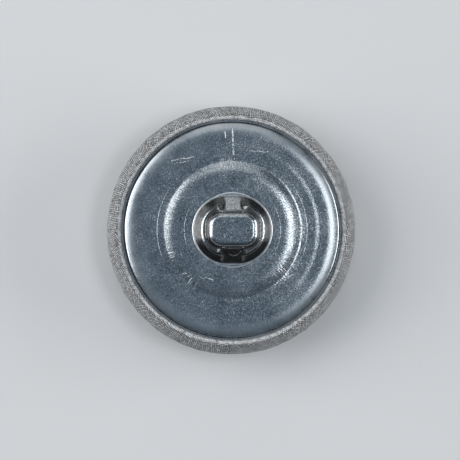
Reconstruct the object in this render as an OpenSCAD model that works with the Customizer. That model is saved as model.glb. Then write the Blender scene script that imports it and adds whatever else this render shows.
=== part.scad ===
// Fabric covered button with a pressed metal back and a hollow shank.
// The button lies on its domed face, so its back and its shank point up along +Z.
// The origin is on the button's axis, at the lowest point of the face. The thread runs through the shank
// along Y. All sizes are in millimetres.

/* [Covered button] */
// Diameter across the cloth at its widest ring
button_d = 28.6; // [26:0.1:34]
// Height of the cloth's crest above the lowest point of the face
rim_h = 5.4; // [5:0.1:6.4]
// Distance from the widest ring in to the crest, where the cloth turns over the edge of the shell
crest_in = 1.25; // [1.1:0.05:1.8]
// Radius of the domed face, at the middle of the shell's metal
face_r = 56; // [45:1:80]
// Radius that turns the face into the side, at the middle of the shell's metal
turn_r = 1.4; // [1.1:0.05:1.5]
// Clearance between layers that are pressed together
fit = 0.02; // [0.02:0.005:0.04]

/* [Cloth] */
// Thickness of the cloth
cloth_t = 0.26; // [0.15:0.01:0.32]
// Number of gathers round the rim
gathers = 32; // [24:1:40]
// Height of a gather in the turned hem under the plate
gather_h = 0.3; // [0.1:0.02:0.5]
// Share of that height that is left where the cloth passes the crest
crest_share = 0.3; // [0:0.05:0.5]
// Width of the hem that is turned in under the flange of the plate
hem_w = 1.8; // [1:0.1:3]

/* [Front shell] */
// Thickness of the shell's metal
shell_t = 0.3; // [0.2:0.02:0.36]

/* [Back plate] */
// Thickness of the plate's metal
plate_t = 0.28; // [0.2:0.02:0.34]
// Depth of the flange below the crest of the cloth
flange_drop = 0.6; // [0.5:0.05:0.7]
// Open gap between the cloth's crest and the wall of the crown
crown_gap = 0.27; // [0.2:0.01:0.35]
// Height of the crown above the flange
crown_h = 0.95; // [0.95:0.05:1.2]
// Radius of the crown's broad shoulder
shoulder_r = 1.9; // [1.6:0.05:2.1]
// Slope at which that shoulder turns down into the wall, in degrees
shoulder_tilt = 38; // [34:1:42]
// Width of the crown's top, from its wall to the faint step
crown_w = 2.31; // [2.1:0.05:2.6]
// Width of the faint step
step_w = 0.46; // [0.3:0.02:0.6]
// Height of the faint step
step_h = 0.07; // [0.03:0.01:0.12]
// Width of the ledge from the faint step to the die line
ledge_w = 0.98; // [0.8:0.02:1.2]
// Height of the die line, the small sharp step at the inner end of the ledge
die_h = 0.03; // [0.02:0.01:0.05]
// Width of the shelf inside the die line, and its height at its inner end
shelf_w = 0.75; // [0.6:0.05:0.9]
shelf_h = 0.05; // [0.04:0.01:0.08]
// Distance from the die line to the edge of the plateau, across the shelf and the cone
cone_w = 2.02; // [1.9:0.02:2.2]
// Radius that rounds the cone into the plateau, and the one that rounds it into the shelf
cone_r = 2.4; // [1.6:0.1:2.6]
shelf_r = 1.1; // [0.6:0.1:1.3]
// Height of the plateau above the outside of the die line
plateau_h = 0.52; // [0.4:0.02:0.6]
// Width of the plateau, from the land to the cone
plateau_w = 1.08; // [0.8:0.02:1.3]
// Width of the land round the shank's rim
land_w = 1.04; // [0.8:0.02:1.2]
// Height of the land above the plateau
land_h = 0.03; // [0.02:0.01:0.06]

/* [Shank] */
// Length of the shank's rim, across the thread
rim_l = 8.92; // [8.7:0.02:9.2]
// Width of the shank's rim, along the thread
rim_w = 7.48; // [7.2:0.02:7.8]
// Diameter of the round die mark that crosses the rim
seat_d = 8.46; // [8.2:0.02:8.6]
// Height of that die mark
seat_h = 0.03; // [0.02:0.01:0.05]
// Height of the mound above the land
mound_h = 1.5; // [1.2:0.05:1.7]
// Width of the mound's flank, seen from above
flank_w = 0.95; // [0.85:0.01:1]
// Radius of the mound's shoulder
mound_r = 0.36; // [0.2:0.01:0.4]
// Length of the turret's foot, across the thread
turret_l = 6.3; // [6.1:0.02:6.4]
// Width of the turret's foot, along the thread
turret_w = 4.12; // [4:0.02:4.4]
// Height of the turret above the mound
turret_h = 1.5; // [1.45:0.05:2]
// Length that the turret loses on its way up, across the thread
taper_l = 0.9; // [0.6:0.02:1]
// Width that the turret loses on its way up, along the thread
taper_w = 0.16; // [0.04:0.02:0.3]
// Radius of the turret's corners at its top, seen from above
corner_r = 1.25; // [1.1:0.02:1.3]
// Radius of the turret's upper edge
pad_r = 0.57; // [0.4:0.01:0.6]
// Width of the thread slot
slot_w = 2.76; // [2.4:0.02:2.78]
// Height of the thread slot
slot_h = 1; // [0.85:0.05:1.05]
// Height of the slot's sill above the mound
sill_h = 0.06; // [0.04:0.01:0.1]
// Radius of the hollow ramp down the mound that the thread slides over
ramp_r = 0.95; // [0.85:0.05:1.1]
// Depth of that ramp under the mound's top, where it starts at the slot
ramp_h = 0.12; // [0.06:0.01:0.15]

/* [Hidden] */
$fn = 96;

// Steps along the face, along the turn and round the shell's cut edge
face_steps = 7;
turn_steps = 5;
edge_steps = 5;
// Steps of each rounded bend in the plate and in the shank, and of each corner of the shank
bend_steps = 5;
shank_steps = 3;
corner_steps = 12;
// Points along one gather
gather_steps = 3;
// Radius of the small bends at the foot of the crown, of the mound and of the turret
foot_r = 0.16;
// Radius of the bend between the crown's shoulder and its wall, just over the sheet's thickness
brim_r = plate_t + 2 * fit;
// Width of the hem's gathered part, out from its cut edge
hem_flat = 0.75 * hem_w;
// Length by which a cut runs past the metal
cut_over = 1;

// Distances from the middle of the shell's metal to its face and to both faces of the cloth
metal_off = shell_t / 2;
cloth_in = metal_off + fit;
cloth_out = cloth_in + cloth_t;

// The middle of the shell's metal in section: a face arc, a turn arc tangent to it, and a straight side
edge_pt = [button_d / 2 - crest_in, rim_h - cloth_out];
face_c = [0, cloth_out + face_r];
turn_x = button_d / 2 - cloth_out - turn_r;
turn_c = [turn_x, face_c.y - sqrt(pow(face_r - turn_r, 2) - pow(turn_x, 2))];
turn_start = heading(turn_c - face_c);
turn_end = heading(edge_pt - turn_c) - acos(turn_r / norm(edge_pt - turn_c));
side_dir = [cos(turn_end + 90), sin(turn_end + 90)];
in_dir = -[cos(turn_end), sin(turn_end)];

// Heights in the back plate, and its outer radii
flange_z = rim_h - flange_drop;
crown_z = flange_z + crown_h;
ring_z = crown_z + step_h;
plateau_z = ring_z + plateau_h;
land_z = plateau_z + land_h;
mound_z = land_z + mound_h;
pad_z = mound_z + turret_h;
under_z = flange_z - plate_t - fit;
hem_z = under_z - cloth_t;
crown_rad = edge_pt.x - cloth_out - crown_gap;
flange_rad = lining_x(cloth_out, flange_z) - fit;
hem_rad = lining_x(cloth_out, under_z) - hem_w;

function heading(v) = atan2(v.y, v.x);
function unit(v) = v / norm(v);
function arc(c, r, from, to, steps) =
    [for (i = [0:steps]) let (a = from + (to - from) * i / steps) c + r * [cos(a), sin(a)]];
function backwards(list) = [for (i = [len(list) - 1:-1:0]) list[i]];

// Radius at height z, a distance off inside the middle of the shell's side, or of its turn further down
function lining_x(off, z) =
    let (p = edge_pt + off * in_dir, r = turn_r - off, end_z = turn_c.y + r * sin(turn_end))
    z > end_z
        ? p.x + side_dir.x * (z - p.y) / side_dir.y
        : turn_c.x + sqrt(pow(r, 2) - pow(z - turn_c.y, 2));

// Arc of radius r that rounds the corner at q, between p and s
function bend(p, q, s, r, steps) =
    let (
        u = unit(p - q),
        v = unit(s - q),
        half = acos(u * v) / 2,
        c = q + unit(u + v) * r / sin(half),
        from = heading(q + u * r / tan(half) - c),
        to = heading(q + v * r / tan(half) - c),
        turn = to - from,
        sweep = turn > 180 ? turn - 360 : turn < -180 ? turn + 360 : turn
    )
    arc(c, r, from, from + sweep, steps);

// Path through the points, with each inner point rounded by its own radius, where that is not 0
function rounded(points, radii, steps) = [
    for (i = [0:len(points) - 1])
        each i == 0 || i == len(points) - 1 || radii[i] == 0
            ? [points[i]]
            : bend(points[i - 1], points[i], points[i + 1], radii[i], steps)
];

// Path moved sideways by d, to the left of its own direction
function side_of(path, i) =
    let (
        a = unit(path[max(i, 1)] - path[max(i, 1) - 1]),
        b = unit(path[min(i + 1, len(path) - 1)] - path[min(i + 1, len(path) - 1) - 1]),
        m = unit(a + b)
    )
    [-m.y, m.x] / (m * a);
function moved(path, d) = [for (i = [0:len(path) - 1]) path[i] + d * side_of(path, i)];

// Face of the shell or the cloth, a distance off outside the middle of the shell's metal
function outside_path(off) = concat(
    arc(face_c, face_r + off, -90, turn_start, face_steps),
    [for (i = [1:turn_steps]) arc(turn_c, turn_r + off, turn_start, turn_end, turn_steps)[i]]
);

// The same face of the cloth carried on round the cut edge, down the inside and in under the flange
function cloth_path(off, z) = concat(
    outside_path(off),
    arc(edge_pt, off, turn_end, turn_end + 180, edge_steps),
    [for (x = [lining_x(off, z), hem_rad + hem_flat, hem_rad]) [x, z]]
);

// Share of a gather's height at point i of the cloth's outer face, and of its inner face
face_last = face_steps + turn_steps;
edge_last = face_last + 1 + edge_steps;
function outer_share(i) =
    i <= face_steps || i >= edge_last
        ? 0
        : crest_share * min(1, (i - face_steps) / (turn_steps + 1), (edge_last - i) / 2);
function inner_share(i) = i > edge_last + 1 ? 1 : 0;
// Height of the cloth's wave: three points to a gather, which laps over to one side
function wave(j) = [0, 1, 0.45][j % gather_steps];

// Length of the sloping line that the crown's shoulder and the bend below it are rounded from, and its height
slope_l = shoulder_r * tan(shoulder_tilt / 2) + brim_r * tan(45 - shoulder_tilt / 2) + fit;
shoulder_h = slope_l * sin(shoulder_tilt);

// The bends take their run from the flat bands beside them. What a change of size leaves over or takes away
// between the rim and the wall is shared by the plateau, the ledge and the crown's top, as each can give.
cone_run = cone_r * tan(atan2(plateau_h - shelf_h, cone_w - shelf_w) / 2);
shoulder_run = slope_l * cos(shoulder_tilt) + shoulder_r * tan(shoulder_tilt / 2);
spare = crown_rad - crown_w - step_w - ledge_w - cone_w - plateau_w - land_w - rim_l / 2;
gives = [plateau_w - 2 * land_h - cone_run, ledge_w - die_h, crown_w - shoulder_run];
shared = spare / (gives[0] + gives[1] + gives[2]);

// Radii of the land, the plateau, the die line and both edges of the faint step
land_rad = rim_l / 2 + land_w;
cone_rad = land_rad + plateau_w + shared * gives[0];
ring_rad = cone_rad + cone_w;
step_rad = ring_rad + ledge_w + shared * gives[1];
top_rad = step_rad + step_w;

// Section of the plate's upper face, from the axis out to the edge of the flange
plate_top = rounded(
    [
        [0, land_z + seat_h],
        [seat_d / 2, land_z + seat_h],
        [seat_d / 2 + 2 * seat_h, land_z],
        [land_rad, land_z],
        [land_rad + 2 * land_h, plateau_z],
        [cone_rad, plateau_z],
        [ring_rad - shelf_w, ring_z + shelf_h],
        [ring_rad, ring_z + die_h],
        [ring_rad + die_h, ring_z],
        [step_rad, ring_z],
        [top_rad, crown_z],
        [crown_rad - slope_l * cos(shoulder_tilt), crown_z],
        [crown_rad, crown_z - shoulder_h],
        [crown_rad, flange_z],
        [flange_rad, flange_z]
    ],
    [0, 0, 0, 0, 0, cone_r, shelf_r, 0, 0, 0, 0, shoulder_r, brim_r, foot_r, 0],
    bend_steps
);

// Section of the shank's upper face, from the foot of the mound up to the middle of the pad: its half size
// at the rim, at the foot of the turret and at the top of the turret
function shank_section(rim, foot, top) = rounded(
    [
        [rim + 1, land_z],
        [rim, land_z],
        [rim - flank_w, mound_z],
        [foot, mound_z],
        [top, pad_z],
        [0, pad_z]
    ],
    [0, foot_r, mound_r, foot_r, pad_r, 0],
    shank_steps
);
long_top = shank_section(rim_l / 2, turret_l / 2, (turret_l - taper_l) / 2);
wide_top = shank_section(rim_w / 2, turret_w / 2, (turret_w - taper_w) / 2);
// Half length of the straight part of the ends, which grows from the round rim to the square pad
end_flat = (turret_w - taper_w) / 2 - corner_r;
flats = [
    [turret_w / 2, end_flat],
    [rim_w / 2 - flank_w, end_flat / 2],
    [rim_w / 2, end_flat / 16]
];

// Solid whose rings are rounded rectangles: each takes its half length and its height over the ends from the
// one section, its half width and its height over the sides from the other. It reaches down to height z.
module shank_form(long, wide, z) {
    last = len(long) - 2;
    ring_size = 4 * (corner_steps + 1);
    corners = [for (q = [0:3], k = [0:corner_steps]) [q, 90 * (q + k / corner_steps)]];
    function ring(i, low) = [
        for (c = corners)
            let (
                flat = lookup(wide_top[i].x, flats),
                r = wide[i].x - flat,
                sx = c[0] == 0 || c[0] == 3 ? 1 : -1,
                sy = c[0] < 2 ? 1 : -1
            )
                [
                    sx * (long[i].x - r) + r * cos(c[1]),
                    sy * flat + r * sin(c[1]),
                    low ? z : long[i].y * pow(cos(c[1]), 2) + wide[i].y * pow(sin(c[1]), 2)
                ]
    ];
    layers = concat([ring(1, true)], [for (i = [1:last]) ring(i, false)]);
    polyhedron(
        points = [for (l = layers) each l],
        faces = concat(
            [[for (j = [0:ring_size - 1]) j]],
            [
                for (i = [0:last - 1], j = [0:ring_size - 1])
                    let (k = (j + 1) % ring_size, a = i * ring_size, b = a + ring_size)
                        each [[a + j, b + j, b + k], [a + j, b + k, a + k]]
            ],
            [[for (j = [ring_size - 1:-1:0]) last * ring_size + j]]
        )
    );
}

// Hollow ramps from both ends of the slot down to the rim, a distance in under the metal's upper face
module ramps(inset) {
    start = turret_w / 2 + foot_r / 2;
    tilt = atan2(mound_h - ramp_h - foot_r, rim_w / 2 - start);
    for (side = [0, 1])
        mirror([0, side, 0])
            translate([0, start, mound_z - ramp_h + ramp_r / cos(tilt)])
                rotate([-90 - tilt, 0, 0]) translate([0, 0, ramp_r * tan(tilt) - inset])
                    cylinder(r = ramp_r + inset, h = rim_w);
}

// Slot with round ends that passes through the turret along Y
module thread_slot() {
    straight = slot_w - slot_h;
    translate([0, 0, mound_z + sill_h + slot_h / 2]) rotate([90, 0, 0]) {
        for (side = [-1, 1])
            translate([side * straight / 2, 0, 0]) cylinder(d = slot_h, h = rim_w, center = true);
        cube([straight, slot_h, rim_w], center = true);
    }
}

module back_plate() {
    low_z = plateau_z - plate_t - cut_over;
    color([0.62, 0.66, 0.7]) difference() {
        union() {
            rotate_extrude() polygon(concat(plate_top, backwards(moved(plate_top, -plate_t))));
            difference() {
                shank_form(long_top, wide_top, land_z - plate_t / 2);
                ramps(0);
            }
        }
        difference() {
            shank_form(moved(long_top, plate_t), moved(wide_top, plate_t), low_z);
            ramps(plate_t);
        }
        thread_slot();
    }
}

module front_shell() {
    outer = concat(outside_path(metal_off), [edge_pt - metal_off * in_dir]);
    inner = concat(outside_path(-metal_off), [edge_pt + metal_off * in_dir]);
    color([0.72, 0.73, 0.74]) rotate_extrude() polygon(concat(outer, backwards(inner)));
}

module fabric_cover() {
    outer = cloth_path(cloth_out, under_z);
    inner = cloth_path(cloth_in, hem_z);
    n = gathers * gather_steps;
    last = len(outer) - 1;
    crests = concat(
        [for (i = [1:last]) gather_h * outer_share(i) * -side_of(outer, i)],
        [for (i = [last:-1:1]) gather_h * inner_share(i) * side_of(inner, i)]
    );
    section = concat([for (i = [1:last]) outer[i]], [for (i = [last:-1:1]) inner[i]]);
    rings = [
        for (i = [0:len(section) - 1], j = [0:n - 1])
            let (p = section[i] + wave(j) * crests[i], a = 360 * j / n)
                [p.x * cos(a), p.x * sin(a), p.y]
    ];
    count = len(section);
    color([0.82, 0.82, 0.83]) polyhedron(
        points = concat(rings, [[0, 0, outer[0].y], [0, 0, inner[0].y]]),
        faces = concat(
            [for (j = [0:n - 1]) [n * count, j, (j + 1) % n]],
            [
                for (i = [0:count - 2], j = [0:n - 1])
                    let (k = (j + 1) % n)
                        each [
                            [i * n + j, (i + 1) * n + j, (i + 1) * n + k],
                            [i * n + j, (i + 1) * n + k, i * n + k]
                        ]
            ],
            [
                for (j = [0:n - 1])
                    let (k = (j + 1) % n, a = (count - 1) * n)
                        [n * count + 1, a + k, a + j]
            ]
        )
    );
}

back_plate();
front_shell();
fabric_cover();
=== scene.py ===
import math

import bmesh
import bpy
from mathutils import Matrix, Vector


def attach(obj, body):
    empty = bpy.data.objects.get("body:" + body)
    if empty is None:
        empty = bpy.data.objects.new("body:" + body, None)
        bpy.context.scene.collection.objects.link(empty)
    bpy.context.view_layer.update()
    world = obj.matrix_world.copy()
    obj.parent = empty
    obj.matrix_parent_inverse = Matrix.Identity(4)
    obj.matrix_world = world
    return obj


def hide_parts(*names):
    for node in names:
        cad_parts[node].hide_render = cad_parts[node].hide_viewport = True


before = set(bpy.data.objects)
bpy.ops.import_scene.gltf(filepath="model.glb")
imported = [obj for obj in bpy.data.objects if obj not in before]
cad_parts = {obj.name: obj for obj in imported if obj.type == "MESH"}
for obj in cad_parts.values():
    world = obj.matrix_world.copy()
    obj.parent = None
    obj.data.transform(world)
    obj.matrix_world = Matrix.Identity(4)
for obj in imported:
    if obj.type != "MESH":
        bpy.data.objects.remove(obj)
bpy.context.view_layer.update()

# The back of a fabric covered button, lying on its domed face. Lengths are millimetres in the
# dictionaries and metres in the meshes.
mm = 0.001
scene = bpy.context.scene
scene.view_settings.view_transform = "Standard"
print("frame loaded:", ", ".join(sorted(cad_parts)))


# Sections: flat paths of (distance from the axis, height)

def heading(v):
    return math.atan2(v[1], v[0])


def unit(v):
    size = math.hypot(v[0], v[1])
    return (v[0] / size, v[1] / size)


def arc(centre, radius, start, end, steps):
    turns = [start + (end - start) * i / steps for i in range(steps + 1)]
    return [(centre[0] + radius * math.cos(a), centre[1] + radius * math.sin(a)) for a in turns]


def bend(before, corner, after, radius, steps):  # the arc that rounds one corner
    u = unit((before[0] - corner[0], before[1] - corner[1]))
    v = unit((after[0] - corner[0], after[1] - corner[1]))
    half = math.acos(max(-1, min(1, u[0] * v[0] + u[1] * v[1]))) / 2
    middle = unit((u[0] + v[0], u[1] + v[1]))
    depth, reach = radius / math.sin(half), radius / math.tan(half)
    centre = (corner[0] + middle[0] * depth, corner[1] + middle[1] * depth)
    start = heading((corner[0] + u[0] * reach - centre[0], corner[1] + u[1] * reach - centre[1]))
    end = heading((corner[0] + v[0] * reach - centre[0], corner[1] + v[1] * reach - centre[1]))
    sweep = (end - start + math.pi) % (2 * math.pi) - math.pi
    return arc(centre, radius, start, start + sweep, steps)


def rounded(points, radii, steps):
    path = []
    for i, point in enumerate(points):
        if radii[i]:
            path += bend(points[i - 1], point, points[i + 1], radii[i], steps)
        else:
            path.append(point)
    return path


def moved(path, shift):  # the path shifted to the left of its own direction
    result = []
    last = len(path) - 1
    for i, point in enumerate(path):
        i0, i1 = max(i, 1), min(i + 1, last)
        a = unit((path[i0][0] - path[i0 - 1][0], path[i0][1] - path[i0 - 1][1]))
        b = unit((path[i1][0] - path[i1 - 1][0], path[i1][1] - path[i1 - 1][1]))
        m = unit((a[0] + b[0], a[1] + b[1]))
        grow = shift / (m[0] * a[0] + m[1] * a[1])
        result.append((point[0] - m[1] * grow, point[1] + m[0] * grow))
    return result


def divided(paths, longest):  # the same new points in each path, so that no stretch is longer
    result = [[path[0]] for path in paths]
    for i in range(1, len(paths[0])):
        size = max(math.dist(path[i - 1], path[i]) for path in paths)
        steps = max(1, math.ceil(size / longest))
        for path, new in zip(paths, result):
            for k in range(1, steps + 1):
                t = k / steps
                new.append(tuple(a + (b - a) * t for a, b in zip(path[i - 1], path[i])))
    return result


def meshPiece(name, points, faces):
    mesh = bpy.data.meshes.new(name)
    mesh.from_pydata(points, [], faces)
    mesh.validate()
    piece = bpy.data.objects.new(name, mesh)
    scene.collection.objects.link(piece)
    return piece


def bakedPiece(piece):  # the piece's live modifiers become its plain mesh
    depsgraph = bpy.context.evaluated_depsgraph_get()
    mesh = bpy.data.meshes.new_from_object(piece.evaluated_get(depsgraph), depsgraph=depsgraph)
    mesh.name = piece.name
    piece.modifiers.clear()
    old = piece.data
    piece.data = mesh
    bpy.data.meshes.remove(old)
    return piece


def smoothPiece(piece, angle):
    piece.data.shade_smooth()
    piece.data.set_sharp_from_angle(angle=math.radians(angle))


# Nodes

def addNode(tree, kind, inputs=None, **settings):  # inputs hold values or other nodes' sockets
    made = tree.nodes.new(kind)
    for key, value in settings.items():
        setattr(made, key, value)
    for key, value in (inputs or {}).items():
        if isinstance(value, bpy.types.NodeSocket):
            tree.links.new(value, made.inputs[key])
        else:
            made.inputs[key].default_value = value
    return made


def sums(tree, operation, *values, clamp=False):  # one math node, and its result
    made = addNode(tree, "ShaderNodeMath", dict(enumerate(values)), operation=operation)
    made.use_clamp = clamp
    return made.outputs[0]


def ramp(tree, value, low, high, toLow=0.0, toHigh=1.0, soft=False):  # value from one range to another
    made = addNode(tree, "ShaderNodeMapRange", {"Value": value}, clamp=True)
    made.interpolation_type = "SMOOTHSTEP" if soft else "LINEAR"
    for key, number in (("From Min", low), ("From Max", high), ("To Min", toLow), ("To Max", toHigh)):
        made.inputs[key].default_value = number
    return made.outputs["Result"]


def mixed(tree, share, first, second):  # one colour mix, and its result
    made = addNode(tree, "ShaderNodeMix", data_type="RGBA")
    for key, value in ((0, share), (6, first), (7, second)):
        if isinstance(value, bpy.types.NodeSocket):
            tree.links.new(value, made.inputs[key])
        else:
            made.inputs[key].default_value = value
    return made.outputs[2]


def noise(tree, vector, scale, detail=2.0, roughness=0.5, colour=False):
    made = addNode(tree, "ShaderNodeTexNoise", {"Vector": vector, "Scale": scale, "Detail": detail,
                                                "Roughness": roughness})
    return made.outputs["Color" if colour else "Fac"]


def vectorSums(tree, operation, first, second=(0, 0, 0)):  # one vector math node, and its result
    made = addNode(tree, "ShaderNodeVectorMath", {0: first, 1: second}, operation=operation)
    return made.outputs["Value" if operation in ("DOT_PRODUCT", "DISTANCE", "LENGTH") else "Vector"]


def scaled(tree, vector, size):
    return addNode(tree, "ShaderNodeVectorMath", {0: vector, "Scale": size}, operation="SCALE").outputs[0]


def axes(tree, vector):
    return addNode(tree, "ShaderNodeSeparateXYZ", {0: vector}).outputs


def pointOf(tree, x, y=0.0, z=0.0):
    return addNode(tree, "ShaderNodeCombineXYZ", {"X": x, "Y": y, "Z": z}).outputs[0]


def added(tree, start, parts):  # the start, and each part times its share
    for value, share in parts:
        start = sums(tree, "ADD", start, sums(tree, "MULTIPLY", value, share))
    return start


def newGroup(name, ins, outs):
    tree = bpy.data.node_groups.new(name, "ShaderNodeTree")
    for side, sockets in (("INPUT", ins), ("OUTPUT", outs)):
        for label, kind in sockets.items():
            tree.interface.new_socket(name=label, in_out=side, socket_type="NodeSocket" + kind)
    return tree, tree.nodes.new("NodeGroupInput").outputs, tree.nodes.new("NodeGroupOutput").inputs


def newMaterial(name):
    material = bpy.data.materials.new(name)
    material.use_nodes = True
    return material, material.node_tree, material.node_tree.nodes["Principled BSDF"]


def placeGroup(tree, group, inputs):
    made = addNode(tree, "ShaderNodeGroup", node_tree=group)
    for key, value in inputs.items():
        if isinstance(value, bpy.types.NodeSocket):
            tree.links.new(value, made.inputs[key])
        else:
            made.inputs[key].default_value = value
    return made.outputs


def objectMillimetres(tree):  # the piece's own coordinates, in millimetres
    coordinates = addNode(tree, "ShaderNodeTexCoord")
    return addNode(tree, "ShaderNodeMapping", {"Vector": coordinates.outputs["Object"],
                                               "Scale": (1 / mm, 1 / mm, 1 / mm)}).outputs[0]


def addBump(tree, shader, height, strength, depth):
    bump = addNode(tree, "ShaderNodeBump", {"Height": height, "Strength": strength, "Distance": depth * mm})
    tree.links.new(bump.outputs[0], shader.inputs["Normal"])


# Camera: the photograph looks almost straight down on the shank

cameraSizes = {
    "lens": 240,
    "sensor": 36,
    "frameWidth": 53.05,  # width of the view at the cloth's widest ring
    "target": (-0.15, 0.02, 3.3),
    "fromSouth": 0.8,  # degrees that the view leans
    "fromWest": 2.4,
    "clip": (0.01, 20),  # metres
}


def makeCamera(sizes):
    data = bpy.data.cameras.new("backView")
    data.lens, data.sensor_width = sizes["lens"], sizes["sensor"]
    data.clip_start, data.clip_end = sizes["clip"]
    camera = bpy.data.objects.new("backView", data)
    scene.collection.objects.link(camera)
    west, south = math.radians(sizes["fromWest"]), math.radians(sizes["fromSouth"])
    back = Vector((-math.tan(west), -math.tan(south), 1)).normalized()
    distance = sizes["frameWidth"] * mm * sizes["lens"] / sizes["sensor"]
    camera.location = Vector(sizes["target"]) * mm + back * distance
    right = Vector((0, 1, 0)).cross(back).normalized()  # the thread's direction stays upright in the picture
    camera.rotation_mode = "QUATERNION"
    camera.rotation_quaternion = Matrix((right, back.cross(right), back)).transposed().to_quaternion()
    scene.camera = camera


makeCamera(cameraSizes)
print("camera set")


# Back plate: pressed from one sheet, with the hollow shank drawn up out of its middle

plateSizes = {
    "thickness": 0.28,
    "flangeZ": 4.8,
    "crownZ": 5.75,
    "crownDome": 0.02,  # how much the crown's top falls from the step to the shoulder
    "ringZ": 5.82,
    "dieHeight": 0.018,
    "shelf": (0.68, 0.05),
    "plateauZ": 6.34,
    "landZ": 6.37,
    "moundZ": 7.87,
    "padZ": 9.37,
    "flangeRadius": 12.62,
    "crownRadius": 12.35,
    "stepRadii": (10.04, 9.58),
    "ringRadius": 8.60,
    "coneRadius": 6.69,
    "landRadius": 5.50,
    "landFall": 0.02,  # width of the tiny step up to the land
    "landEnd": 0.2,  # how far in from the land's edge the round section ends
    "seatRadius": 4.23,
    "seatHeight": 0.03,
    "shoulder": 3.2,
    "slope": (0.86, 0.347),  # width and height of the line that the shoulder is rounded from
    "brimBend": 0.32,
    "stepBend": 2.7,
    "coneBend": 4.3,
    "shelfBend": 0.9,
    "footBend": 0.16,
    "moundBend": 0.5,
    "turretBend": 0.05,
    "padBend": 0.8,
    "rimHalf": (4.46, 3.88),  # half length and half width of the shank's rim
    "flankWidth": 0.95,
    "footHalf": (3.15, 2.06),
    "topHalf": (2.70, 1.98),
    "flats": ((1.98, 0.42), (2.06, 0.42), (2.93, 0.22), (3.88, 0.02)),
    "lip": (0.14, 0.05),  # width and height of the fine bead round the rim
    "lipFoot": 0.2,  # share of that height where the bead meets the mound
    "lipBends": (0.02, 0.03, 0.02),
    "approach": 1,  # flat run that leads into the shank's section
    "rampHalf": (0.7, 1.9),  # half width of the ramp's floor, and of the ramp where it dies out
    "rampDepth": 0.12,
    "rampTilt": 35.5,
    "rampTop": (0.1, 0.14),  # how far inside the mound's edge a ramp starts, and how soon it is full
    "rampLift": 0.2,  # how far over the mound's top a point may lie and still be lowered
    "slot": (2.76, 1.0, 8.43),  # width, height and middle of the thread slot
    "slotReach": 3.4,
    "slotSteps": 24,
    "slices": 320,
    "bendSteps": 9,
    "stretches": (0.14, 0.3),  # longest step along the upper and the lower skin's section
    "landCircles": (5.1, 4.9, 4.75, 4.6, 4.5, 4.4, 4.33),
    "seatCircles": (4.15, 4.05, 3.95),
    "circleSpare": 0.008,  # least gap between circles that the shank's foot pushes out
    "padShares": (0.94, 0.85, 0.7, 0.5, 0.25),
    "sharpAngle": 35,
    "wallShade": (0.75, 0.2),  # how upright a normal may be before the painted shade ends, and its fading
    "endsFrom": 1.35,  # the shank's ends, left without painted shade, lie where x is more than this many times y
    "moundShade": (6.6, 8.1, 0.93, 0.9),  # painted shade on the mound's top: lowest, highest, how upright and how strong
    "unshadedRamp": (2.1, 3.8, 0.7, 0.4),  # from, to, half width and fading of the ramp that is left without painted shade
    # how far from the axis the painted shade reaches
    "shadeReach": 5,
    "highlightedLip": (3.6, 4.7, 0.985, 0.08),  # where the rim's bead gets a painted highlight: from, to, how upright at most and how far over the land
}


def lookup(value, table):
    if value <= table[0][0]:
        return table[0][1]
    for (x0, y0), (x1, y1) in zip(table, table[1:]):
        if value <= x1:
            return y0 + (y1 - y0) * (value - x0) / (x1 - x0)
    return table[-1][1]


def reachOf(angle, halfLength, halfWidth, flat):
    # How far out a rounded rectangle reaches at an angle, and how much of its end's height it takes there
    c, s = abs(math.cos(angle)), abs(math.sin(angle))
    radius = halfWidth - flat
    straight = halfLength - radius
    if halfLength * s <= flat * c:
        return halfLength / c, 1
    if halfWidth * c <= straight * s:
        return halfWidth / s, 0
    along = c * straight + s * flat
    reach = along + math.sqrt(along ** 2 - straight ** 2 - flat ** 2 + radius ** 2)
    return reach, ((reach * c - straight) / radius) ** 2


def plateSection(sizes):  # the round part, from the cut edge of the flange in to the land
    step0, step1 = sizes["stepRadii"]
    crown, ring, die = sizes["crownRadius"], sizes["ringRadius"], sizes["dieHeight"]
    land, fall = sizes["landRadius"], sizes["landFall"]
    corners = [  # distance from the axis, height and bend
        (sizes["flangeRadius"], sizes["flangeZ"], 0),
        (crown, sizes["flangeZ"], sizes["footBend"]),
        (crown, sizes["crownZ"] - sizes["slope"][1], sizes["brimBend"]),
        (crown - sizes["slope"][0], sizes["crownZ"], sizes["shoulder"]),
        (step0, sizes["crownZ"] + sizes["crownDome"], sizes["stepBend"]),
        (step1, sizes["ringZ"], sizes["stepBend"]),
        (ring + die, sizes["ringZ"], die),
        (ring, sizes["ringZ"] + die, die),
        (ring - sizes["shelf"][0], sizes["ringZ"] + sizes["shelf"][1], sizes["shelfBend"]),
        (sizes["coneRadius"], sizes["plateauZ"], sizes["coneBend"]),
        (land + fall, sizes["plateauZ"], fall / 2),
        (land, sizes["landZ"], fall / 2),
        (land - sizes["landEnd"], sizes["landZ"], 0),
    ]
    return rounded([c[:2] for c in corners], [c[2] for c in corners], sizes["bendSteps"])


def shankSection(sizes, side, lip):
    rim, foot, top = sizes["rimHalf"][side], sizes["footHalf"][side], sizes["topHalf"][side]
    width, height = sizes["lip"]
    points = [
        (rim + sizes["approach"], sizes["landZ"]),
        (rim + width, sizes["landZ"]),
        (rim + width / 2, sizes["landZ"] + height),
        (rim, sizes["landZ"] + height * sizes["lipFoot"]),
        (rim - sizes["flankWidth"], sizes["moundZ"]),
        (foot, sizes["moundZ"]),
        (top, sizes["padZ"]),
        (0, sizes["padZ"]),
    ]
    radii = [0, *sizes["lipBends"], sizes["moundBend"], sizes["turretBend"], sizes["padBend"], 0]
    if not lip:
        points[1:4], radii[1:4] = [(rim, sizes["landZ"])], [sizes["footBend"]]
    return rounded(points, radii, sizes["bendSteps"])


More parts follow.
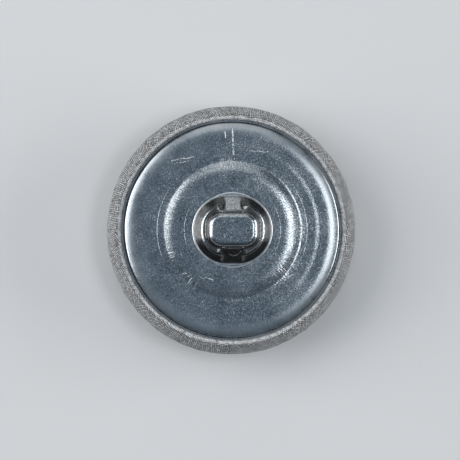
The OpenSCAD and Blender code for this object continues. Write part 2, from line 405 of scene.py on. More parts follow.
def plateRings(sizes, drop):
    # Rings of points of one skin, from the flange in to the pad; drop is how far under the upper face it lies
    angles = [2 * math.pi * i / sizes["slices"] for i in range(sizes["slices"])]
    longest = sizes["stretches"][1 if drop else 0]
    section = divided([moved(plateSection(sizes), drop) if drop else plateSection(sizes)], longest)[0]
    rings = [[(r * math.cos(a), r * math.sin(a), z) for a in angles] for r, z in section]
    long, wide = shankSection(sizes, 0, drop == 0), shankSection(sizes, 1, drop == 0)
    flats = [lookup(p[0], sizes["flats"]) for p in wide]
    if drop:
        long, wide = moved(long, drop), moved(wide, drop)
    wide = [(*p, flat) for p, flat in zip(wide, flats)]
    long, wide = divided([[(*p, 0) for p in long[1:-1]], wide[1:-1]], longest)
    seat, rise = sizes["seatRadius"], sizes["seatHeight"]
    landZ = sizes["landZ"] - drop

    def landHeight(r):
        return landZ + rise * min(1, max(0, (seat + 2 * rise - r) / (2 * rise)))

    feet = [reachOf(a, long[0][0], wide[0][0], wide[0][2])[0] for a in angles]
    circles = [*sizes["landCircles"], seat + 2 * rise, seat + rise, seat, *sizes["seatCircles"]]
    for k, circle in enumerate(circles):
        spare = (len(circles) - k) * sizes["circleSpare"]
        ring = []
        for a, foot in zip(angles, feet):
            r = max(circle, foot + spare)
            ring.append((r * math.cos(a), r * math.sin(a), landHeight(r)))
        rings.append(ring)
    for p, q in zip(long, wide):
        ring = []
        for a in angles:
            r, share = reachOf(a, p[0], q[0], q[2])
            z = p[1] * share + q[1] * (1 - share)
            ring.append((r * math.cos(a), r * math.sin(a), max(z, landHeight(r))))
        rings.append(ring)
    edge = rings[-1]
    for share in sizes["padShares"]:
        rings.append([(x * share, y * share, z) for x, y, z in edge])
    return rings


def withRamps(sizes, rings, drop):
    # The two soft hollows down the mound that the thread slides over, one at each end of the slot
    slope = math.tan(math.radians(sizes["rampTilt"]))
    start = sizes["footHalf"][1] + sizes["footBend"] / 2
    (floor, edge), (inside, full) = sizes["rampHalf"], sizes["rampTop"]
    result = []
    for ring in rings:
        new = []
        for x, y, z in ring:
            low = sizes["moundZ"] - sizes["rampDepth"] - drop - (abs(y) - start) * slope
            low = max(low, sizes["landZ"] - drop)
            onFlank = start - inside < abs(y) < sizes["rimHalf"][1]
            if onFlank and low < z < sizes["moundZ"] + sizes["rampLift"]:
                across = min(1, max(0, (edge - abs(x)) / (edge - floor)))
                across = across * across * (3 - 2 * across)
                z += (low - z) * across * min(1, (abs(y) - start + inside) / full)
            new.append((x, y, z))
        result.append(new)
    return result


def makePlate(sizes):
    drop = sizes["thickness"]
    top = withRamps(sizes, plateRings(sizes, 0), 0)
    low = withRamps(sizes, plateRings(sizes, drop), drop)
    n = sizes["slices"]
    points = [p for ring in top for p in ring] + [p for ring in low for p in ring]
    points += [(0, 0, top[-1][0][2]), (0, 0, low[-1][0][2])]
    faces = []
    start = len(top) * n
    for i in range(n):
        k = (i + 1) % n
        for j in range(len(top) - 1):
            faces.append((j * n + i, j * n + k, (j + 1) * n + k, (j + 1) * n + i))
        for j in range(len(low) - 1):
            a, b = start + j * n, start + (j + 1) * n
            faces.append((a + k, a + i, b + i, b + k))
        faces.append(((len(top) - 1) * n + i, (len(top) - 1) * n + k, len(points) - 2))
        faces.append((start + (len(low) - 1) * n + k, start + (len(low) - 1) * n + i, len(points) - 1))
        faces.append((k, i, start + i, start + k))
    plate = meshPiece("pressed_back", [(x * mm, y * mm, z * mm) for x, y, z in points], faces)
    cutSlot(sizes, plate)
    smoothPiece(plate, sizes["sharpAngle"])
    markPaintedLight(sizes, plate)
    return plate


def markPaintedLight(sizes, plate):
    # Painted shade on the shank's steep walls and the mound's top, standing in for the shade and dark
    # reflections there: only its ends and one ramp are left without it. The rim's bead gets a painted
    # highlight
    upright, fading = sizes["wallShade"]
    lowest, highest, topUpright, topShare = sizes["moundShade"]
    rampStart, rampEnd, rampHalf, rampFading = sizes["unshadedRamp"]
    lipStart, lipEnd, lipUpright, lipHeight = sizes["highlightedLip"]
    mesh = plate.data
    shares, lipHighlight = [], []
    for vertex, normal in zip(mesh.vertices, mesh.vertex_normals):
        x, y, z = vertex.co / mm
        reach, up = math.hypot(x, y), normal.vector.z
        ends = abs(x) > sizes["endsFrom"] * abs(y)
        share = min(1, max(0, (upright - up) / fading))
        if lowest < z < highest and (up > topUpright or not ends):
            share = topShare
        if rampStart < y < rampEnd and z < highest:  # the north ramp, left without painted shade
            share *= min(1, max(0, (abs(x) - rampHalf) / rampFading))
        shares.append(share if reach < sizes["shadeReach"] else 0)
        # the rim's bead: a painted highlight
        onLip = lipStart < reach < lipEnd and up < lipUpright and z < sizes["landZ"] + lipHeight
        lipHighlight.append(1 if onLip else 0)
    for name, values in (("paintedShade", shares), ("lipHighlight", lipHighlight)):
        layer = mesh.attributes.new(name, "FLOAT", "POINT")
        layer.data.foreach_set("value", values)


def cutSlot(sizes, plate):
    width, height, middle = sizes["slot"]
    radius, straight = height / 2, (width - height) / 2
    quarter, steps, reach = math.pi / 2, sizes["slotSteps"], sizes["slotReach"] * mm
    outline = arc((straight, middle), radius, -quarter, quarter, steps)
    outline += arc((-straight, middle), radius, quarter, 3 * quarter, steps)
    n = len(outline)
    points = [(x * mm, side * reach, z * mm) for side in (-1, 1) for x, z in outline]
    faces = [tuple(range(n)), tuple(range(2 * n - 1, n - 1, -1))]
    faces += [(i, n + i, n + (i + 1) % n, (i + 1) % n) for i in range(n)]
    cutter = meshPiece("slotCutter", points, faces)
    fixed = bmesh.new()
    fixed.from_mesh(cutter.data)
    bmesh.ops.recalc_face_normals(fixed, faces=fixed.faces)
    fixed.to_mesh(cutter.data)
    fixed.free()
    cut = plate.modifiers.new("slot", "BOOLEAN")
    cut.operation, cut.solver, cut.object = "DIFFERENCE", "EXACT", cutter
    bakedPiece(plate)
    bpy.data.objects.remove(cutter)


plate = makePlate(plateSizes)
print("back plate pressed:", len(plate.data.polygons), "faces")


# Cloth: one round cut of it, wrapped over the shell and tucked in under the plate in small gathers

coverSizes = {
    "inner": 0.17,  # from the middle of the shell's metal to both faces of the cloth
    "outer": 0.43,
    "faceCentre": 56.43,
    "faceRadius": 56.0,
    "turnCentre": (12.47, 3.273),
    "turnRadius": 1.4,
    "turnStart": -76.8,
    "turnEnd": 32.46,
    "edge": (13.05, 4.97),
    "underZ": 4.5,
    "hemZ": 4.24,
    "hemRadius": 11.04,
    "hemFlat": 1.35,
    "slices": 720,
    "gathers": 33,
    "gatherHeight": 0.26,
    "unevenHeight": 0.2,
    "seed": 4,
    "cutWidth": 41.7,  # the flat cloth's diameter before it is wrapped
    "arcSteps": (24, 18, 14),  # over the face, round the turn and round the edge
    "hemStretch": 0.16,  # longest step along the hem
    "edgeFree": 0.42,  # how freely the cloth puckers where it turns over the edge
    "tuckRate": 3,  # the gathers are full after the hem's length over this
    "slowUneven": (2.2, 60.0, 1.3),  # size round the axis, size along the cloth and strength
    "quickUneven": (7.0, 160.0),
    "gatherDrift": (3.5, 9.0),  # how often and how far the gathers stray from an even spacing
    "puckers": (2.0, 0.55),  # shares of unevenness and of gathers at the crest
    "weld": 0.0002,
}


def coverPath(sizes, off, hemZ):
    turn0, turn1 = math.radians(sizes["turnStart"]), math.radians(sizes["turnEnd"])
    faceSteps, sideSteps, edgeSteps = sizes["arcSteps"]
    face = arc((0, sizes["faceCentre"]), sizes["faceRadius"] + off, -math.pi / 2, turn0, faceSteps)
    side = arc(sizes["turnCentre"], sizes["turnRadius"] + off, turn0, turn1, sideSteps)[1:]
    over = arc(sizes["edge"], off, turn1, turn1 + math.pi, edgeSteps)
    startX, startZ = over[-1]
    lining = startX - math.tan(turn1) * (hemZ - startZ)
    hem = [(lining, hemZ), (sizes["hemRadius"] + sizes["hemFlat"], hemZ), (sizes["hemRadius"], hemZ)]
    path = divided([[over[-1]] + hem], sizes["hemStretch"])[0]
    return face, side, over, path[1:]


def coverOutline(sizes):
    # The cloth's closed section: its points, their place on the flat cut, and how freely each may pucker
    outer = coverPath(sizes, sizes["outer"], sizes["underZ"])
    inner = coverPath(sizes, sizes["inner"], sizes["hemZ"])
    rows = []
    for skin, parts in enumerate((outer, inner)):
        path = [p for part in parts for p in part]
        away = moved(path, -1)
        run, skinRows = 0, []
        faceLast, sideLast = len(parts[0]), len(parts[0]) + len(parts[1])
        edgeLast = sideLast + len(parts[2])
        for i, (x, z) in enumerate(path):
            if i:
                run += math.dist(path[i - 1], path[i])
            outward = unit((away[i][0] - x, away[i][1] - z))
            free, tuck = 0, 0
            if not skin and faceLast <= i < sideLast:
                free = sizes["edgeFree"] * (i - faceLast) / (sideLast - faceLast)
            elif not skin and sideLast <= i < edgeLast:
                free = sizes["edgeFree"] * (edgeLast - 1 - i) / (edgeLast - sideLast)
            elif skin and i >= edgeLast:
                tuck = min(1, sizes["tuckRate"] * (i - edgeLast + 1) / (len(path) - edgeLast))
            skinRows.append((x, z, run, free, tuck, outward))
        rows.append(skinRows)
    return rows[0] + rows[1][::-1]


def makeWrapTree(sizes):
    # Turns the section into a closed skin round the axis, uneven at its crest and gathered at its hem
    tree = bpy.data.node_groups.new("wrappedCloth", "GeometryNodeTree")
    tree.is_modifier = True
    names = {}
    for label, kind in (
        ("Geometry", "Geometry"), ("Slices", "Int"), ("Gathers", "Float"), ("Gather Height", "Float"),
        ("Uneven Height", "Float"), ("Cut Width", "Float"), ("Seed", "Float"), ("Cloth", "Material"),
    ):
        socket = tree.interface.new_socket(name=label, in_out="INPUT", socket_type="NodeSocket" + kind)
        names[label] = socket.identifier
    tree.interface.new_socket(name="Geometry", in_out="OUTPUT", socket_type="NodeSocketGeometry")
    given = tree.nodes.new("NodeGroupInput").outputs

    def node(kind, inputs=None, **settings):
        return addNode(tree, kind, inputs, **settings).outputs[0]

    def times(first, second):
        return sums(tree, "MULTIPLY", first, second)

    def plus(first, second):
        return sums(tree, "ADD", first, second)

    count = node("GeometryNodeAttributeDomainSize", {0: given["Geometry"]}, component="MESH")
    grid = node("GeometryNodeMeshGrid", {
        "Size X": 1.0, "Size Y": 1.0, "Vertices X": plus(given["Slices"], 1.0), "Vertices Y": count})
    place = axes(tree, node("GeometryNodeInputPosition"))
    turn = times(plus(place["X"], 0.5), 2 * math.pi)
    row = sums(tree, "ROUND", times(plus(place["Y"], 0.5), sums(tree, "SUBTRACT", count, 1.0)))

    def sampled(value, kind):
        made = addNode(tree, "GeometryNodeSampleIndex", {"Geometry": given["Geometry"], "Index": row},
                       data_type=kind, domain="POINT")
        tree.links.new(value, made.inputs["Value"])
        return made.outputs[0]

    def stored(name, kind="FLOAT"):
        return sampled(node("GeometryNodeInputNamedAttribute", {"Name": name}, data_type=kind), kind)

    cosine, sine = sums(tree, "COSINE", turn), sums(tree, "SINE", turn)
    point = axes(tree, sampled(node("GeometryNodeInputPosition"), "FLOAT_VECTOR"))
    outward = axes(tree, stored("outward", "FLOAT_VECTOR"))
    free, tuck, run = stored("free"), stored("tuck"), stored("run")

    def circleNoise(size, lift):  # noise round the axis without a seam
        where = pointOf(tree, times(cosine, size), times(sine, size), plus(times(run, lift), given["Seed"]))
        return sums(tree, "SUBTRACT", noise(tree, where, 1.0), 0.5)

    slow, slowLift, slowShare = sizes["slowUneven"]
    bulge = plus(times(circleNoise(slow, slowLift), slowShare), circleNoise(*sizes["quickUneven"]))
    often, far = sizes["gatherDrift"]
    phase = plus(times(turn, given["Gathers"]), times(circleNoise(often, 0.0), far))
    fold = times(plus(sums(tree, "SINE", phase), 1.0), 0.5)
    uneven, folded = sizes["puckers"]
    pucker = times(times(free, given["Uneven Height"]), plus(times(bulge, uneven), times(fold, folded)))
    lift = plus(pucker, times(times(tuck, given["Gather Height"]), fold))
    radius = plus(point["X"], times(lift, outward["X"]))
    height = plus(point["Z"], times(lift, outward["Z"]))
    final = pointOf(tree, times(radius, cosine), times(radius, sine), height)
    share = sums(tree, "DIVIDE", run, given["Cut Width"])
    flat = pointOf(tree, plus(times(share, cosine), 0.5), plus(times(share, sine), 0.5))
    shape = node("GeometryNodeStoreNamedAttribute", {"Geometry": grid, "Name": "flatCut", "Value": flat},
                 data_type="FLOAT2", domain="CORNER")
    shape = node("GeometryNodeSetPosition", {"Geometry": shape, "Position": final})
    shape = node("GeometryNodeMergeByDistance", {"Geometry": shape, "Distance": sizes["weld"] * mm})
    shape = node("GeometryNodeSetShadeSmooth", {"Geometry": shape})
    shape = node("GeometryNodeRealizeInstances", {"Geometry": shape})
    shape = node("GeometryNodeSetMaterial", {"Geometry": shape, "Material": given["Cloth"]})
    tree.links.new(shape, tree.nodes.new("NodeGroupOutput").inputs[0])
    return tree, names


def makeCover(sizes, cloth):
    rows = coverOutline(sizes)
    mesh = bpy.data.meshes.new("wrapped_cloth")
    mesh.from_pydata([(x * mm, 0, z * mm) for x, z, *rest in rows],
                     [(i, i + 1) for i in range(len(rows) - 1)], [])
    for name, column, scale in (("run", 2, mm), ("free", 3, 1), ("tuck", 4, 1)):
        values = mesh.attributes.new(name, "FLOAT", "POINT")
        values.data.foreach_set("value", [row[column] * scale for row in rows])
    outward = mesh.attributes.new("outward", "FLOAT_VECTOR", "POINT")
    outward.data.foreach_set("vector", [n for row in rows for n in (row[5][0], 0, row[5][1])])
    cover = bpy.data.objects.new("wrapped_cloth", mesh)
    scene.collection.objects.link(cover)
    tree, names = makeWrapTree(sizes)
    wrap = cover.modifiers.new("wrap", "NODES")
    wrap.node_group = tree
    for label, value in (
        ("Slices", sizes["slices"]), ("Gathers", float(sizes["gathers"])),
        ("Gather Height", sizes["gatherHeight"] * mm), ("Uneven Height", sizes["unevenHeight"] * mm),
        ("Cut Width", sizes["cutWidth"] * mm), ("Seed", float(sizes["seed"])), ("Cloth", cloth),
    ):
        wrap[names[label]] = value
    return bakedPiece(cover)


# Finishes

marksLook = {
    "speckleNoise": (3.0, 0.65),  # detail and roughness
    "speckleRange": (0.52, 0.72),
    "directions": ((0.35, 3.1), (1.15, 7.7), (1.9, 1.3), (2.75, 5.2)),  # turn and shift of the scratches
    "fineness": 18.0,
    "scratchRange": (0.70, 0.80),
    "scratchDepth": -0.6,
    "stainNoise": (0.45, 3.0, 0.6),
}


def makeScuffGroup(look):
    # Handling marks of soft bright metal: fine speckle, hairline scratches in all directions, soft stains
    tree, given, out = newGroup(
        "handlingMarks", {"Place": "Vector", "Speckle Size": "Float", "Scratch Length": "Float"},
        {"Speckle": "Float", "Scratches": "Float", "Stain": "Float", "Height": "Float"})
    closeness = sums(tree, "DIVIDE", 1.0, given["Speckle Size"])
    fine = noise(tree, given["Place"], closeness, *look["speckleNoise"])
    lines = None
    for turn, shift in look["directions"]:
        turned = axes(tree, addNode(tree, "ShaderNodeMapping", {
            "Vector": given["Place"], "Location": (shift, shift, 0), "Rotation": (0, 0, turn)}).outputs[0])
        stretched = pointOf(tree, sums(tree, "MULTIPLY", turned["X"], look["fineness"]),
                            sums(tree, "DIVIDE", turned["Y"], given["Scratch Length"]), turned["Z"])
        line = ramp(tree, noise(tree, stretched, 1.0, 1.0), *look["scratchRange"])
        lines = line if lines is None else sums(tree, "MAXIMUM", lines, line)
    tree.links.new(ramp(tree, fine, *look["speckleRange"]), out["Speckle"])
    tree.links.new(lines, out["Scratches"])
    tree.links.new(noise(tree, given["Place"], *look["stainNoise"]), out["Stain"])
    tree.links.new(added(tree, fine, [(lines, look["scratchDepth"])]), out["Height"])
    return tree


scratchLook = {
    "wanderNoise": 1.6,
    "breakNoise": 5.0,
    "breakRange": (0.38, 0.56),
    "edgeRange": (0.4, 1.0),  # shares of the half width between which a scratch fades out
}


def makeScratchGroup(look):
    # One deliberate scratch: a broken, slightly wandering line from one point to another
    tree, given, out = newGroup(
        "longScratch",
        {"Place": "Vector", "From": "Vector", "To": "Vector", "Width": "Float", "Wander": "Float"},
        {"Mask": "Float"})
    wander = vectorSums(tree, "SUBTRACT", noise(tree, given["Place"], look["wanderNoise"], colour=True),
                        (0.5, 0.5, 0.5))
    place = vectorSums(tree, "ADD", given["Place"], scaled(tree, wander, given["Wander"]))
    line = vectorSums(tree, "SUBTRACT", given["To"], given["From"])
    away = vectorSums(tree, "SUBTRACT", vectorSums(tree, "MULTIPLY", place, (1, 1, 0)), given["From"])
    share = sums(tree, "DIVIDE", vectorSums(tree, "DOT_PRODUCT", away, line),
                 vectorSums(tree, "DOT_PRODUCT", line, line), clamp=True)
    gap = vectorSums(tree, "DISTANCE", away, scaled(tree, line, share))
    ratio = sums(tree, "DIVIDE", gap, given["Width"])
    breaks = ramp(tree, noise(tree, given["Place"], look["breakNoise"]), *look["breakRange"])
    within = ramp(tree, ratio, *look["edgeRange"], 1.0, 0.0)
    tree.links.new(sums(tree, "MULTIPLY", within, breaks), out["Mask"])
    return tree


weaveLook = {
    "driftNoise": 0.8,
    "drift": 0.25,
    "toneCell": (0.37, 0.06),  # how fast the tone changes from thread to thread and along one
    "toneNoise": 3.0,
}


def makeWeaveGroup(look):
    # Plain weave on the flat cut: threads that pass over and under each other, each with its own tone
    tree, given, out = newGroup(
        "plainWeave", {"Flat Place": "Vector", "Pitch": "Float", "Turn": "Float"},
        {"Height": "Float", "Tone": "Float"})
    turned = addNode(tree, "ShaderNodeVectorRotate", {"Vector": given["Flat Place"], "Angle": given["Turn"]},
                     rotation_type="Z_AXIS").outputs[0]
    slow = vectorSums(tree, "SUBTRACT", noise(tree, turned, look["driftNoise"], colour=True), (0.5, 0.5, 0.5))
    place = axes(tree, vectorSums(tree, "ADD", turned, scaled(tree, slow, look["drift"])))
    x, y = (sums(tree, "DIVIDE", place[axis], given["Pitch"]) for axis in ("X", "Y"))
    column, row = sums(tree, "FLOOR", x), sums(tree, "FLOOR", y)

    def thread(across, length, own, lag):  # how high one set of threads stands
        body = sums(tree, "ABSOLUTE", sums(tree, "SINE", sums(tree, "MULTIPLY", across, math.pi)))
        along = sums(tree, "ADD", sums(tree, "ADD", length, own), lag)
        wave = sums(tree, "COSINE", sums(tree, "MULTIPLY", along, math.pi))
        return sums(tree, "MULTIPLY", body, sums(tree, "MULTIPLY_ADD", wave, 0.5, 0.5))

    warp, weft = thread(x, y, column, 0.5), thread(y, x, row, 1.5)
    overWarp = sums(tree, "GREATER_THAN", warp, weft)
    own, along = look["toneCell"]
    tones = []
    for number, length in ((column, y), (row, x)):
        cell = pointOf(tree, sums(tree, "MULTIPLY", number, own), sums(tree, "MULTIPLY", length, along))
        tones.append(noise(tree, cell, look["toneNoise"]))
    tone = sums(tree, "ADD", sums(tree, "MULTIPLY", tones[0], overWarp),
                sums(tree, "MULTIPLY", tones[1], sums(tree, "SUBTRACT", 1.0, overWarp)))
    tree.links.new(sums(tree, "MAXIMUM", warp, weft), out["Height"])
    tree.links.new(tone, out["Tone"])
    return tree


handlingMarks, longScratch = makeScuffGroup(marksLook), makeScratchGroup(scratchLook)
plainWeave = makeWeaveGroup(weaveLook)

backMetalLook = {
    "dark": (0.15, 0.185, 0.215, 1),
    "light": (0.60, 0.64, 0.67, 1),
    "bare": (0.84, 0.85, 0.86, 1),
    # painted shade colour for the shank's steep walls and the mound's top
    "paintedShade": (0.13, 0.118, 0.108, 1),
    "roughness": 0.20,
    "roughening": {"stain": 0.16, "speckle": 0.06, "bare": 0.15, "satin": 0.08, "edges": 0.3},
    "marks": {"Speckle Size": 0.17, "Scratch Length": 0.55},
    "cone": ((6.7, 7.2), (7.9, 8.5)),  # distances from the axis where the draw marks come and go
    "streaks": (46, 0.7, (0.48, 0.68)),  # how close round the axis, how close up the cone, and their range
    "patches": (1.9, (0.42, 0.6)),
    "dieRings": 7.0,
    "satin": (10.6, 11.5),  # where the crown's shoulder, burnished by the die, sets in; its tone is also painted lighter there, painted light on its slope
    "satinGrain": -0.75,
    # how much lighter the shoulder is painted: painted light on its slope
    "shoulderPaintedLight": 0.15,
    "grain": ((0.36, 0.62), (-0.34, 0.34)),
    "stain": ((0.3, 0.7), (0.3, 0.62)),
    # the share for the rim's bead is a painted highlight
    "shares": {"speckle": 0.35, "hairlines": 0.3, "draw": 0.7, "lipHighlight": 0.8},
    "cloudy": (2.2, (0.3, 0.6), (0.72, 1.0)),
    "heights": {"grain": 0.5, "satin": -0.35, "scratch": -1.2, "draw": 1.3, "dieRings": 0.35},
    "bump": (0.6, 0.03),  # strength and depth
    "wander": (0.35, 0.08),  # of the scratches and of the burrs
    "scratches": (  # from, to and width, as seen with the thread running up and down
        ((0.0, 11.55, 0), (0.15, 8.6, 0), 0.075),
        ((-0.85, 11.3, 0), (-0.8, 10.6, 0), 0.06),
        ((-6.9, 8.0, 0), (-4.4, 8.35, 0), 0.07),
        ((-6.3, 7.65, 0), (-5.1, 7.9, 0), 0.05),
        ((1.6, 9.1, 0), (4.1, 8.95, 0), 0.05),
        ((6.0, -5.7, 0), (6.9, -5.2, 0), 0.10),
        ((-3.0, -5.4, 0), (-2.2, -5.7, 0), 0.09),
        ((-3.9, -5.2, 0), (-3.2, -5.6, 0), 0.06),
    ),
    "burrs": (  # bright torn edges where the slot was punched, from, to and width
        ((-0.35, -2.8, 0), (0.05, -2.99, 0), 0.06),
        ((0.05, -2.99, 0), (0.5, -2.88, 0), 0.06),
        ((0.5, -2.88, 0), (0.95, -2.42, 0), 0.05),
        ((-1.75, -2.22, 0), (-1.35, -2.3, 0), 0.07),
        ((1.2, -2.28, 0), (1.5, -2.3, 0), 0.06),
        ((-1.5, 2.14, 0), (-1.2, 2.08, 0), 0.06),
    ),
}


def scratched(tree, place, marks, wander):  # the strongest of the scratches at each place
    mask = None
    for start, end, width in marks:
        one = placeGroup(tree, longScratch, {"Place": place, "From": start, "To": end, "Width": width,
                                             "Wander": wander})["Mask"]
        mask = one if mask is None else sums(tree, "MAXIMUM", mask, one)
    return mask


def makeBackMetal(look):
    material, tree, shader = newMaterial("scuffedBackMetal")
    place = objectMillimetres(tree)
    marks = placeGroup(tree, handlingMarks, {"Place": place, **look["marks"]})
    level = vectorSums(tree, "MULTIPLY", place, (1, 1, 0))
    radius = vectorSums(tree, "LENGTH", level)
    # Draw marks: short streaks up the cone, where the sheet was pulled in
    compass = vectorSums(tree, "NORMALIZE", level)
    around, upward, streakRange = look["streaks"]
    sides = axes(tree, scaled(tree, compass, around))
    streakPoint = pointOf(tree, sides["X"], sides["Y"], sums(tree, "MULTIPLY", radius, upward))
    streaks = ramp(tree, noise(tree, streakPoint, 1.0), *streakRange)
    coming, going = look["cone"]
    onCone = sums(tree, "MULTIPLY", ramp(tree, radius, *coming, soft=True),
                  ramp(tree, radius, *going, 1.0, 0.0, soft=True))
    patchSize, patchRange = look["patches"]
    patches = ramp(tree, noise(tree, compass, patchSize, 1.0), *patchRange)
    draw = sums(tree, "MULTIPLY", sums(tree, "MULTIPLY", streaks, onCone), patches)
    # Rings left by the die
    dieRings = noise(tree, pointOf(tree, sums(tree, "MULTIPLY", radius, look["dieRings"])), 1.0, 3.0)
    shares = look["shares"]
    long = scratched(tree, place, look["scratches"], look["wander"][0])
    burrs = scratched(tree, place, look["burrs"], look["wander"][1])
    bare = sums(tree, "MAXIMUM", long, sums(tree, "MULTIPLY", marks["Scratches"], shares["hairlines"]))
    satin = ramp(tree, radius, *look["satin"], soft=True)
    grainRange, grainTones = look["grain"]
    grain = sums(tree, "MULTIPLY", ramp(tree, marks["Height"], *grainRange, *grainTones),
                 sums(tree, "MULTIPLY_ADD", satin, look["satinGrain"], 1.0))
    stainRange, stainTones = look["stain"]
    tone = sums(tree, "ADD", ramp(tree, marks["Stain"], *stainRange, *stainTones), grain, clamp=True)
    # The shoulder is painted lighter: painted light on its slope
    tone = sums(tree, "MULTIPLY_ADD", satin, look["shoulderPaintedLight"], tone)
    colour = mixed(tree, tone, look["dark"], look["light"])
    colour = mixed(tree, sums(tree, "MULTIPLY", marks["Speckle"], shares["speckle"]), colour, look["light"])
    worn = sums(tree, "MAXIMUM", bare, sums(tree, "MULTIPLY", draw, shares["draw"]))
    colour = mixed(tree, worn, colour, look["bare"])
    # Painted shade: the shank's steep walls and the mound's top are darkened, broken up by cloudy noise
    paintedShade = addNode(tree, "ShaderNodeAttribute", attribute_name="paintedShade").outputs["Fac"]
    cloudSize, cloudRange, cloudShares = look["cloudy"]
    cloudy = ramp(tree, noise(tree, place, cloudSize), *cloudRange, *cloudShares)
    colour = mixed(tree, sums(tree, "MULTIPLY", paintedShade, cloudy), colour, look["paintedShade"])
    # Painted highlight on the rim's bead, mixed with the burrs' bare torn edges
    lipHighlight = addNode(tree, "ShaderNodeAttribute", attribute_name="lipHighlight").outputs["Fac"]
    edges = sums(tree, "MAXIMUM", burrs, sums(tree, "MULTIPLY", lipHighlight, shares["lipHighlight"]))
    tree.links.new(mixed(tree, edges, colour, look["bare"]), shader.inputs["Base Color"])
    more = look["roughening"]
    rough = added(tree, look["roughness"], [
        (sums(tree, "SUBTRACT", marks["Stain"], 0.5), more["stain"]), (marks["Speckle"], more["speckle"]),
        (bare, more["bare"]), (satin, more["satin"])])
    rough = sums(tree, "ADD", rough, sums(tree, "MULTIPLY", edges, more["edges"]), clamp=True)
    tree.links.new(rough, shader.inputs["Roughness"])
    shader.inputs["Metallic"].default_value = 1.0
    heights = look["heights"]
    fine = sums(tree, "MULTIPLY_ADD", satin, heights["satin"], heights["grain"])
    height = added(tree, sums(tree, "MULTIPLY", marks["Height"], fine), [
        (long, heights["scratch"]), (draw, heights["draw"]), (dieRings, heights["dieRings"])])
    addBump(tree, shader, height, *look["bump"])
    return material


shellMetalLook = {
    "dark": (0.42, 0.42, 0.43, 1),
    "light": (0.62, 0.62, 0.62, 1),
    "bare": (0.8, 0.8, 0.8, 1),
    "roughness": 0.34,
    "marks": {"Speckle Size": 0.2, "Scratch Length": 3.0},
    "stainRange": (0.35, 0.65),
    "hairlines": 0.5,
    "speckle": 0.2,
    "bump": (0.4, 0.02),  # strength and depth
}


def makeShellMetal(look):
    material, tree, shader = newMaterial("tinnedShellMetal")
    marks = placeGroup(tree, handlingMarks, {"Place": objectMillimetres(tree), **look["marks"]})
    colour = mixed(tree, ramp(tree, marks["Stain"], *look["stainRange"]), look["dark"], look["light"])
    hairlines = sums(tree, "MULTIPLY", marks["Scratches"], look["hairlines"])
    tree.links.new(mixed(tree, hairlines, colour, look["bare"]), shader.inputs["Base Color"])
    rough = added(tree, look["roughness"], [(marks["Speckle"], look["speckle"])])
    tree.links.new(rough, shader.inputs["Roughness"])
    shader.inputs["Metallic"].default_value = 1.0
    addBump(tree, shader, marks["Height"], *look["bump"])
    return material


clothLook = {
    "gap": (0.03, 0.03, 0.033, 1),
    "thread": (0.23, 0.235, 0.24, 1),
    "bright": (0.88, 0.89, 0.895, 1),
    "crestHighlight": (0.92, 0.93, 0.94, 1),
    "crest": ((12.67, 12.87), (12.98, 13.23)),  # where its painted highlight comes and goes, from the axis
    "pitch": 0.26,
    "turn": 0.3,
    "toneRange": (0.36, 0.64),
    "gapRange": (0.3, 0.85),  # heights between which a thread comes out of the gap's shade
    # noise that breaks up the crest's painted highlight
    "highlightBreakup": (2.6, (0.35, 0.62), (0.15, 0.75)),
    "roughness": (0.85, 0.5),
    "sheen": (0.25, 0.4),  # weight and roughness
    "bump": (1.0, 0.09),  # strength and depth
}


def makeCloth(look, sizes):
    material, tree, shader = newMaterial("silverGreyCloth")
    flat = addNode(tree, "ShaderNodeUVMap", uv_map="flatCut")
    place = addNode(tree, "ShaderNodeMapping", {
        "Vector": flat.outputs[0], "Scale": (sizes["cutWidth"], sizes["cutWidth"], 1)}).outputs[0]
    weave = placeGroup(tree, plainWeave, {"Flat Place": place, "Pitch": look["pitch"], "Turn": look["turn"]})
    colour = mixed(tree, ramp(tree, weave["Tone"], *look["toneRange"]), look["thread"], look["bright"])
    colour = mixed(tree, ramp(tree, weave["Height"], *look["gapRange"]), look["gap"], colour)
    solid = objectMillimetres(tree)
    radius = vectorSums(tree, "LENGTH", vectorSums(tree, "MULTIPLY", solid, (1, 1, 0)))
    # A painted highlight along the cloth's crest, broken up by noise
    coming, going = look["crest"]
    onCrest = sums(tree, "MULTIPLY", ramp(tree, radius, *coming, soft=True),
                   ramp(tree, radius, *going, 1.0, 0.0, soft=True))
    breakupSize, breakupRange, breakupShares = look["highlightBreakup"]
    highlightBreakup = ramp(tree, noise(tree, solid, breakupSize, 3.0), *breakupRange, *breakupShares)
    colour = mixed(tree, sums(tree, "MULTIPLY", onCrest, highlightBreakup), colour, look["crestHighlight"])
    tree.links.new(colour, shader.inputs["Base Color"])
    rough = ramp(tree, weave["Height"], 0.0, 1.0, *look["roughness"])
    tree.links.new(rough, shader.inputs["Roughness"])
    weight, sheenRoughness = look["sheen"]
    shader.inputs["Sheen Weight"].default_value = weight
    shader.inputs["Sheen Roughness"].default_value = sheenRoughness
    addBump(tree, shader, weave["Height"], *look["bump"])
    return material


backMetal, shellMetal = makeBackMetal(backMetalLook), makeShellMetal(shellMetalLook)
clothFinish = makeCloth(clothLook, coverSizes)
print("finishes mixed")

cover = makeCover(coverSizes, clothFinish)
print("cloth wrapped:", len(cover.data.polygons), "faces")

plate.data.materials.clear()
plate.data.materials.append(backMetal)
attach(plate, "root")
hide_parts("back_plate")

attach(cover, "root")
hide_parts("fabric_cover")

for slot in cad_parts["front_shell"].material_slots:
    slot.material = shellMetal
print("pieces dressed")


# Floor and soft studio light

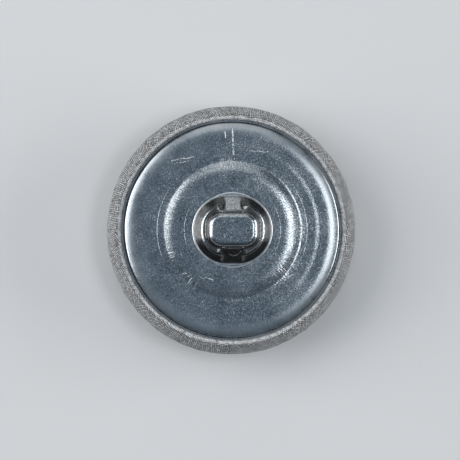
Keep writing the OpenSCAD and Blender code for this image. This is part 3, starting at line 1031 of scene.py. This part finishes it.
studioSizes = {
    "floor": (2.5, 3, 64),  # radius in metres, rings and slices
    "floorColour": (0.80, 0.80, 0.80, 1),
    "floorRoughness": 0.9,
    "overhead": (0.20, 0.25, 0.30, 1),
    "horizon": (0.045, 0.05, 0.055, 1),
    "skyRange": (0.35, 0.97),
    "boxes": (  # name, compass angle, angle from straight up, distance, width, height, radiance, colour
        ("eastBox", 5, 28, 0.60, 0.30, 0.18, 3.2, (1, 1, 1)),
        ("lowEastBox", 4, 76, 0.60, 0.50, 0.22, 6.5, (1, 1, 1)),
        ("lowWestBox", 176, 76, 0.60, 0.50, 0.22, 5.5, (1, 1, 1)),
        ("westBox", 163, 52, 0.60, 0.60, 0.28, 2.7, (1, 1, 1)),
        ("northBox", 90, 55, 0.60, 0.40, 0.60, 0.7, (1, 0.99, 0.97)),
    ),
}


def makeFloor(sizes):
    radius, rings, n = sizes["floor"]
    points = [(0, 0, 0)]
    for k in range(1, rings + 1):
        points += [(x, y, 0) for x, y in arc((0, 0), radius * k / rings, 0, 2 * math.pi, n)[:-1]]
    faces = [(0, 1 + i, 1 + (i + 1) % n) for i in range(n)]
    for k in range(rings - 1):
        a, b = 1 + k * n, 1 + (k + 1) * n
        faces += [(a + i, b + i, b + (i + 1) % n, a + (i + 1) % n) for i in range(n)]
    floor = meshPiece("paleFloor", points, faces)
    material, _, shader = newMaterial("paleFloor")
    shader.inputs["Base Color"].default_value = sizes["floorColour"]
    shader.inputs["Roughness"].default_value = sizes["floorRoughness"]
    shader.inputs["Specular IOR Level"].default_value = 0.0
    floor.data.materials.append(material)


def makeLights(sizes):
    for name, compass, tilt, distance, width, height, radiance, colour in sizes["boxes"]:
        lamp = bpy.data.lights.new(name, "AREA")
        lamp.shape, lamp.size, lamp.size_y = "RECTANGLE", width, height
        lamp.energy = radiance * math.pi * width * height
        lamp.color = colour
        box = bpy.data.objects.new(name, lamp)
        a, t = math.radians(compass), math.radians(tilt)
        out = Vector((math.cos(a) * math.sin(t), math.sin(a) * math.sin(t), math.cos(t)))
        box.location = out * distance
        box.rotation_mode = "QUATERNION"
        box.rotation_quaternion = out.to_track_quat("Z", "Y")
        scene.collection.objects.link(box)
    world = bpy.data.worlds.new("plainRoom")
    world.use_nodes = True
    tree = world.node_tree  # a plain room, brighter overhead than at the walls
    up = axes(tree, addNode(tree, "ShaderNodeTexCoord").outputs["Generated"])["Z"]
    shade = mixed(tree, ramp(tree, up, *sizes["skyRange"], soft=True), sizes["horizon"], sizes["overhead"])
    tree.links.new(shade, tree.nodes["Background"].inputs["Color"])
    scene.world = world


makeFloor(studioSizes)
makeLights(studioSizes)
print("studio set")
